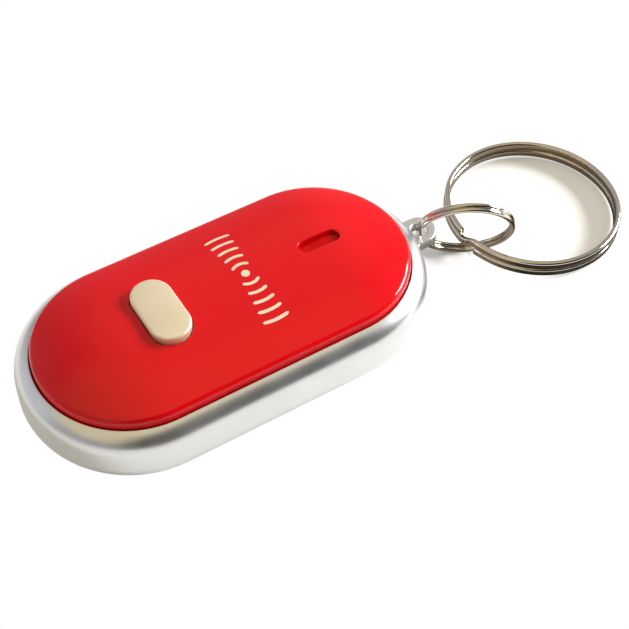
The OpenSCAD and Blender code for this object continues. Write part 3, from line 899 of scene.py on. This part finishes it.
SILVER, RED, CHAMPAGNE, LENS, NICKEL, INK = (
    silver_paint(), red_gloss(), champagne_paint(), red_lens(), nickel(), print_ink())

fit_out(make_shell(), "case", SILVER, "lower_shell", slot="silver_plastic")
fit_out(make_lug(), "case", SILVER, slot="silver_plastic")
fit_out(make_cover(), "case", RED, "top_cover", slot="red_plastic")
fit_out(make_cover_bosses(), "case", RED, slot="red_plastic")
fit_out(make_button(), "button", CHAMPAGNE, "button_cap", slot="champagne_plastic")
fit_out(make_guide(), "case", LENS, "light_guide", slot="red_lens")
fit_out(make_print(), "case", INK, slot="champagne_plastic")
fit_out(make_small_ring(), "small_ring", NICKEL, "small_split_ring", slot="nickel")
fit_out(make_large_ring(), "large_ring", NICKEL, "large_split_ring", slot="nickel")

NODE_LOOKS = {
    "circuit_board": plain("solder_mask", (0.01, 0.10, 0.035), (0.02, 0.15, 0.05), 0.3, 900),
    "radio_chip": plain("chip_resin", (0.012, 0.012, 0.013), (0.03, 0.03, 0.03), 0.5, 3000),
    "tin": plain("tin_plate", (0.62, 0.62, 0.61), (0.75, 0.75, 0.74), 0.28, 2500, 1.0),
    "ceramic": plain("fired_ceramic", (0.62, 0.58, 0.48), (0.74, 0.70, 0.60), 0.55, 3000),
    "white": plain("white_resin", (0.78, 0.76, 0.70), (0.86, 0.85, 0.80), 0.4, 2000),
    "steel": plain("screw_steel", (0.50, 0.50, 0.52), (0.64, 0.64, 0.66), 0.3, 1800, 1.0),
    "bronze": plain("spring_bronze", (0.70, 0.50, 0.22), (0.82, 0.62, 0.30), 0.28, 1500, 1.0),
    "foam": plain("cell_foam", (0.04, 0.045, 0.05), (0.09, 0.10, 0.11), 0.85, 1400, bump=0.6),
    "rubber": plain("seal_rubber", (0.02, 0.02, 0.02), (0.04, 0.04, 0.04), 0.6, 1600),
    "red_wire": plain("red_vinyl", (0.50, 0.01, 0.01), (0.62, 0.02, 0.02), 0.35, 1500),
    "black_wire": plain("black_vinyl", (0.012, 0.012, 0.012), (0.03, 0.03, 0.03), 0.35, 1500),
}
LOOK_OF = {
    "circuit_board": "circuit_board", "radio_chip": "radio_chip", "crystal": "tin",
    "chip_antenna": "ceramic", "chip_passives": "ceramic", "boost_inductor": "radio_chip",
    "driver_transistor": "radio_chip",
    "indicator_led": "white", "switch_housing": "radio_chip", "switch_terminals": "tin",
    "switch_plunger": "radio_chip", "sounder_gasket": "foam", "sounder_disc": "bronze",
    "sounder_ceramic": "ceramic", "sounder_lead_red": "red_wire", "sounder_lead_black": "black_wire",
    "cell_can": "steel", "cell_seal": "radio_chip", "cell_cap": "steel", "positive_contact": "bronze",
    "negative_contact": "bronze", "door_seal": "rubber", "door_screw": "steel", "threaded_insert": "bronze",
    "case_screws": "steel", "board_screws": "steel",
}
for node, look in LOOK_OF.items():
    paint(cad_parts[node], NODE_LOOKS[look])
paint(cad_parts["battery_door"], SILVER)

dome = fit_out(make_snap_dome(), "case", NODE_LOOKS["steel"], "snap_dome", slot="steel")
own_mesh(dome)


# ---------------------------------------------------------------- floor, light, camera
class FloorNodes(Nodes):
    """Short calls for sums over a place on the floor."""

    def sum(self, operation, a, b):
        node = self.tree.nodes.new("ShaderNodeMath")
        node.operation = operation
        for socket, value in zip(node.inputs, (a, b)):
            if isinstance(value, float):
                socket.default_value = value
            else:
                self.tree.links.new(value, socket)
        return node.outputs[0]

    def measure(self, operation, place, other):
        """Distance from a place, or how far along a direction from it."""
        offset = self.tree.nodes.new("ShaderNodeVectorMath")
        offset.operation = "SUBTRACT"
        self.tree.links.new(self.coords, offset.inputs[0])
        offset.inputs[1].default_value = (place.x, place.y, 0)
        node = self.tree.nodes.new("ShaderNodeVectorMath")
        node.operation = operation
        self.tree.links.new(offset.outputs["Vector"], node.inputs[0])
        node.inputs[1].default_value = other
        return node.outputs["Value"]

    def outside(self, place, radius, fade):
        """0 near a place and 1 past a radius from it."""
        away = self.measure("DISTANCE", place, (0, 0, 0))
        return self.spread(away, 0.0, 1.0, radius - fade, radius)


FLOOR_R, FLOOR_Z = 1.5, -0.02 * MM
FLOOR_GLOW = 0.15
# Painted shade on the floor around the large ring, seen only in reflections: grey inside and behind the
# ring, dark in front of it.
PAINTED_SHADE_SIDE = (0.2, -0.98, 0)
PAINTED_SHADE_START, PAINTED_SHADE_STEP, PAINTED_SHADE_REACH, PAINTED_SHADE_FADE = 3 * MM, 5 * MM, 21 * MM, 4 * MM
PAINTED_SHADE_GREY, PAINTED_SHADE_DARK = (0.34, 0.30, 0.26), (0.02, 0.016, 0.012)
RING_SHADE_IN, RING_SHADE_FADE = 0.3 * MM, 0.6 * MM
LINK_SHADE_R, LINK_SHADE_FADE = 4.4 * MM, 1.6 * MM


def make_floor():
    """A pale floor, clear from below.

    The camera sees plain white, with the floor's own light and shade only inside the large ring and by the
    link. Reflections see painted shade on the floor by the large ring instead, grey inside and behind it and
    dark in front of it, which draws the edges of polished wire."""
    bm = bmesh.new()
    fan(bm, add_ring(bm, circle_loop(FLOOR_R), FLOOR_Z))
    obj = finish_mesh("floor", bm)
    obj.data.flip_normals()
    n = FloorNodes("pale_floor").set(Roughness=0.8, Emission_Color=(0.9, 0.95, 1.0, 1.0))
    tree = n.tree
    ring_at = ring_centre("large_split_ring")
    link_at = Vector((LUG_X + 1.8 * LUG_R, 0.4 * LUG_R, 0))
    seen = tree.nodes.new("ShaderNodeLightPath").outputs["Is Camera Ray"]
    unseen = n.sum("SUBTRACT", 1.0, seen)
    near = n.sum("SUBTRACT", 1.0, n.outside(ring_at, PAINTED_SHADE_REACH, PAINTED_SHADE_FADE))
    painted_shade_mask = n.sum("MULTIPLY", near, unseen)
    forward = n.measure("DOT_PRODUCT", ring_at, PAINTED_SHADE_SIDE)
    ahead = n.spread(forward, 0.0, 1.0, PAINTED_SHADE_START, PAINTED_SHADE_START + PAINTED_SHADE_STEP)
    # Painted shade: to reflections, the floor by the large ring is grey, or dark in front of the ring, and
    # does not glow there.
    painted_shade = n.mix(ahead, PAINTED_SHADE_GREY, PAINTED_SHADE_DARK)
    paper = n.ramp(n.noise(3, 2), [(0.3, (0.86, 0.86, 0.86)), (0.7, (0.90, 0.90, 0.90))])
    n.link(n.mix(painted_shade_mask, paper, painted_shade), "Base Color")
    n.link(n.spread(painted_shade_mask, FLOOR_GLOW, 0.0, 0.0, 1.0), "Emission Strength")
    plain_white = n.sum("MULTIPLY", n.outside(ring_at, LARGE_OD / 2 - RING_SHADE_IN, RING_SHADE_FADE),
                        n.outside(link_at, LINK_SHADE_R, LINK_SHADE_FADE))
    layers = ((n.sum("MULTIPLY", seen, plain_white), "ShaderNodeEmission"),
              (tree.nodes.new("ShaderNodeNewGeometry").outputs["Backfacing"], "ShaderNodeBsdfTransparent"))
    surface = n.shader.outputs[0]
    for factor, kind in layers:
        layer = tree.nodes.new("ShaderNodeMixShader")
        tree.links.new(factor, layer.inputs[0])
        tree.links.new(surface, layer.inputs[1])
        tree.links.new(tree.nodes.new(kind).outputs[0], layer.inputs[2])
        surface = layer.outputs[0]
    tree.links.new(surface, tree.nodes["Material Output"].inputs["Surface"])
    obj.data.materials.append(n.material)


LIGHT_AT, LIGHT_AIM = Vector((0.585, -0.085, 0.262)), Vector((0.01, 0, 0))
LIGHT_W, LIGHT_H = 0.32, 0.18
LIGHT_POWER = 7.4


def make_window_light():
    """One soft window, beyond the ring end."""
    data = bpy.data.lights.new("window", "AREA")
    data.energy = LIGHT_POWER
    data.shape = "RECTANGLE"
    data.size = LIGHT_W
    data.size_y = LIGHT_H
    obj = bpy.data.objects.new("window", data)
    bpy.context.scene.collection.objects.link(obj)
    obj.location = LIGHT_AT
    obj.rotation_euler = (LIGHT_AIM - LIGHT_AT).to_track_quat("-Z", "Y").to_euler()


CAMERA_AZ, CAMERA_EL, CAMERA_ROLL = -32.42, 51.15, 1.05
CAMERA_TARGET = Vector((10.27 * MM, -4.52 * MM, 5.0 * MM))
CAMERA_DISTANCE = 179.2 * MM
CAMERA_LENS = 80.65


def make_camera():
    """The camera, looking at its target from an azimuth and an elevation in degrees."""
    az, el = math.radians(CAMERA_AZ), math.radians(CAMERA_EL)
    back = Vector((math.sin(az) * math.cos(el), -math.cos(az) * math.cos(el), math.sin(el)))
    data = bpy.data.cameras.new("camera")
    data.lens = CAMERA_LENS
    data.sensor_width = 36
    data.clip_start, data.clip_end = 0.01, 10
    obj = bpy.data.objects.new("camera", data)
    bpy.context.scene.collection.objects.link(obj)
    obj.location = CAMERA_TARGET + back * CAMERA_DISTANCE
    turn = (-back).to_track_quat("-Z", "Y").to_matrix() @ Matrix.Rotation(math.radians(CAMERA_ROLL), 3, "Z")
    obj.rotation_euler = turn.to_euler()
    bpy.context.scene.camera = obj


def lobe(tree, direction, start, end, source):
    """How far the world's direction lies inside a soft cone, from 0 at start to 1 at end (cosines)."""
    dot = tree.nodes.new("ShaderNodeVectorMath")
    dot.operation = "DOT_PRODUCT"
    dot.inputs[1].default_value = Vector(direction).normalized()
    tree.links.new(source, dot.inputs[0])
    fade = tree.nodes.new("ShaderNodeMapRange")
    fade.interpolation_type = "SMOOTHSTEP"
    fade.inputs["From Min"].default_value = start
    fade.inputs["From Max"].default_value = end
    tree.links.new(dot.outputs["Value"], fade.inputs["Value"])
    return fade.outputs["Result"]


WORLD_BASE = (0.38, 0.38, 0.39)
# Soft patches of the surroundings: direction, cosines where each starts and is full, and colour
WORLD_LOBES = (
    ((-0.25, -0.30, 0.92), 0.62, 0.82, (0.90, 0.76, 0.48)),
    ((-0.72, 0.62, 0.28), 0.78, 0.97, (0.70, 0.72, 0.75)),
    ((0.15, -0.95, 0.22), 0.52, 0.80, (0.030, 0.024, 0.020)),
    ((0.34, 0.53, 0.78), 0.86, 0.97, (0.66, 0.60, 0.50)),
)


def make_world():
    """A room: warm overhead and behind, grey to the left, dark in front, and white to the camera."""
    world = bpy.data.worlds.new("studio")
    bpy.context.scene.world = world
    world.use_nodes = True
    tree = world.node_tree
    source = tree.nodes.new("ShaderNodeTexCoord").outputs["Generated"]
    colour = WORLD_BASE
    for direction, start, end, tint in WORLD_LOBES:
        mix = tree.nodes.new("ShaderNodeMix")
        mix.data_type = "RGBA"
        tree.links.new(lobe(tree, direction, start, end, source), mix.inputs[0])
        if isinstance(colour, tuple):
            mix.inputs[6].default_value = (*colour, 1)
        else:
            tree.links.new(colour, mix.inputs[6])
        mix.inputs[7].default_value = (*tint, 1)
        colour = mix.outputs[2]
    room = tree.nodes["Background"]
    tree.links.new(colour, room.inputs["Color"])
    backdrop = tree.nodes.new("ShaderNodeBackground")
    backdrop.inputs["Color"].default_value = (1, 1, 1, 1)
    seen = tree.nodes.new("ShaderNodeMixShader")
    tree.links.new(tree.nodes.new("ShaderNodeLightPath").outputs["Is Camera Ray"], seen.inputs[0])
    tree.links.new(room.outputs[0], seen.inputs[1])
    tree.links.new(backdrop.outputs[0], seen.inputs[2])
    tree.links.new(seen.outputs[0], tree.nodes["World Output"].inputs["Surface"])


make_floor()
make_world()
make_window_light()
make_camera()
bpy.context.scene.view_settings.view_transform = "Standard"
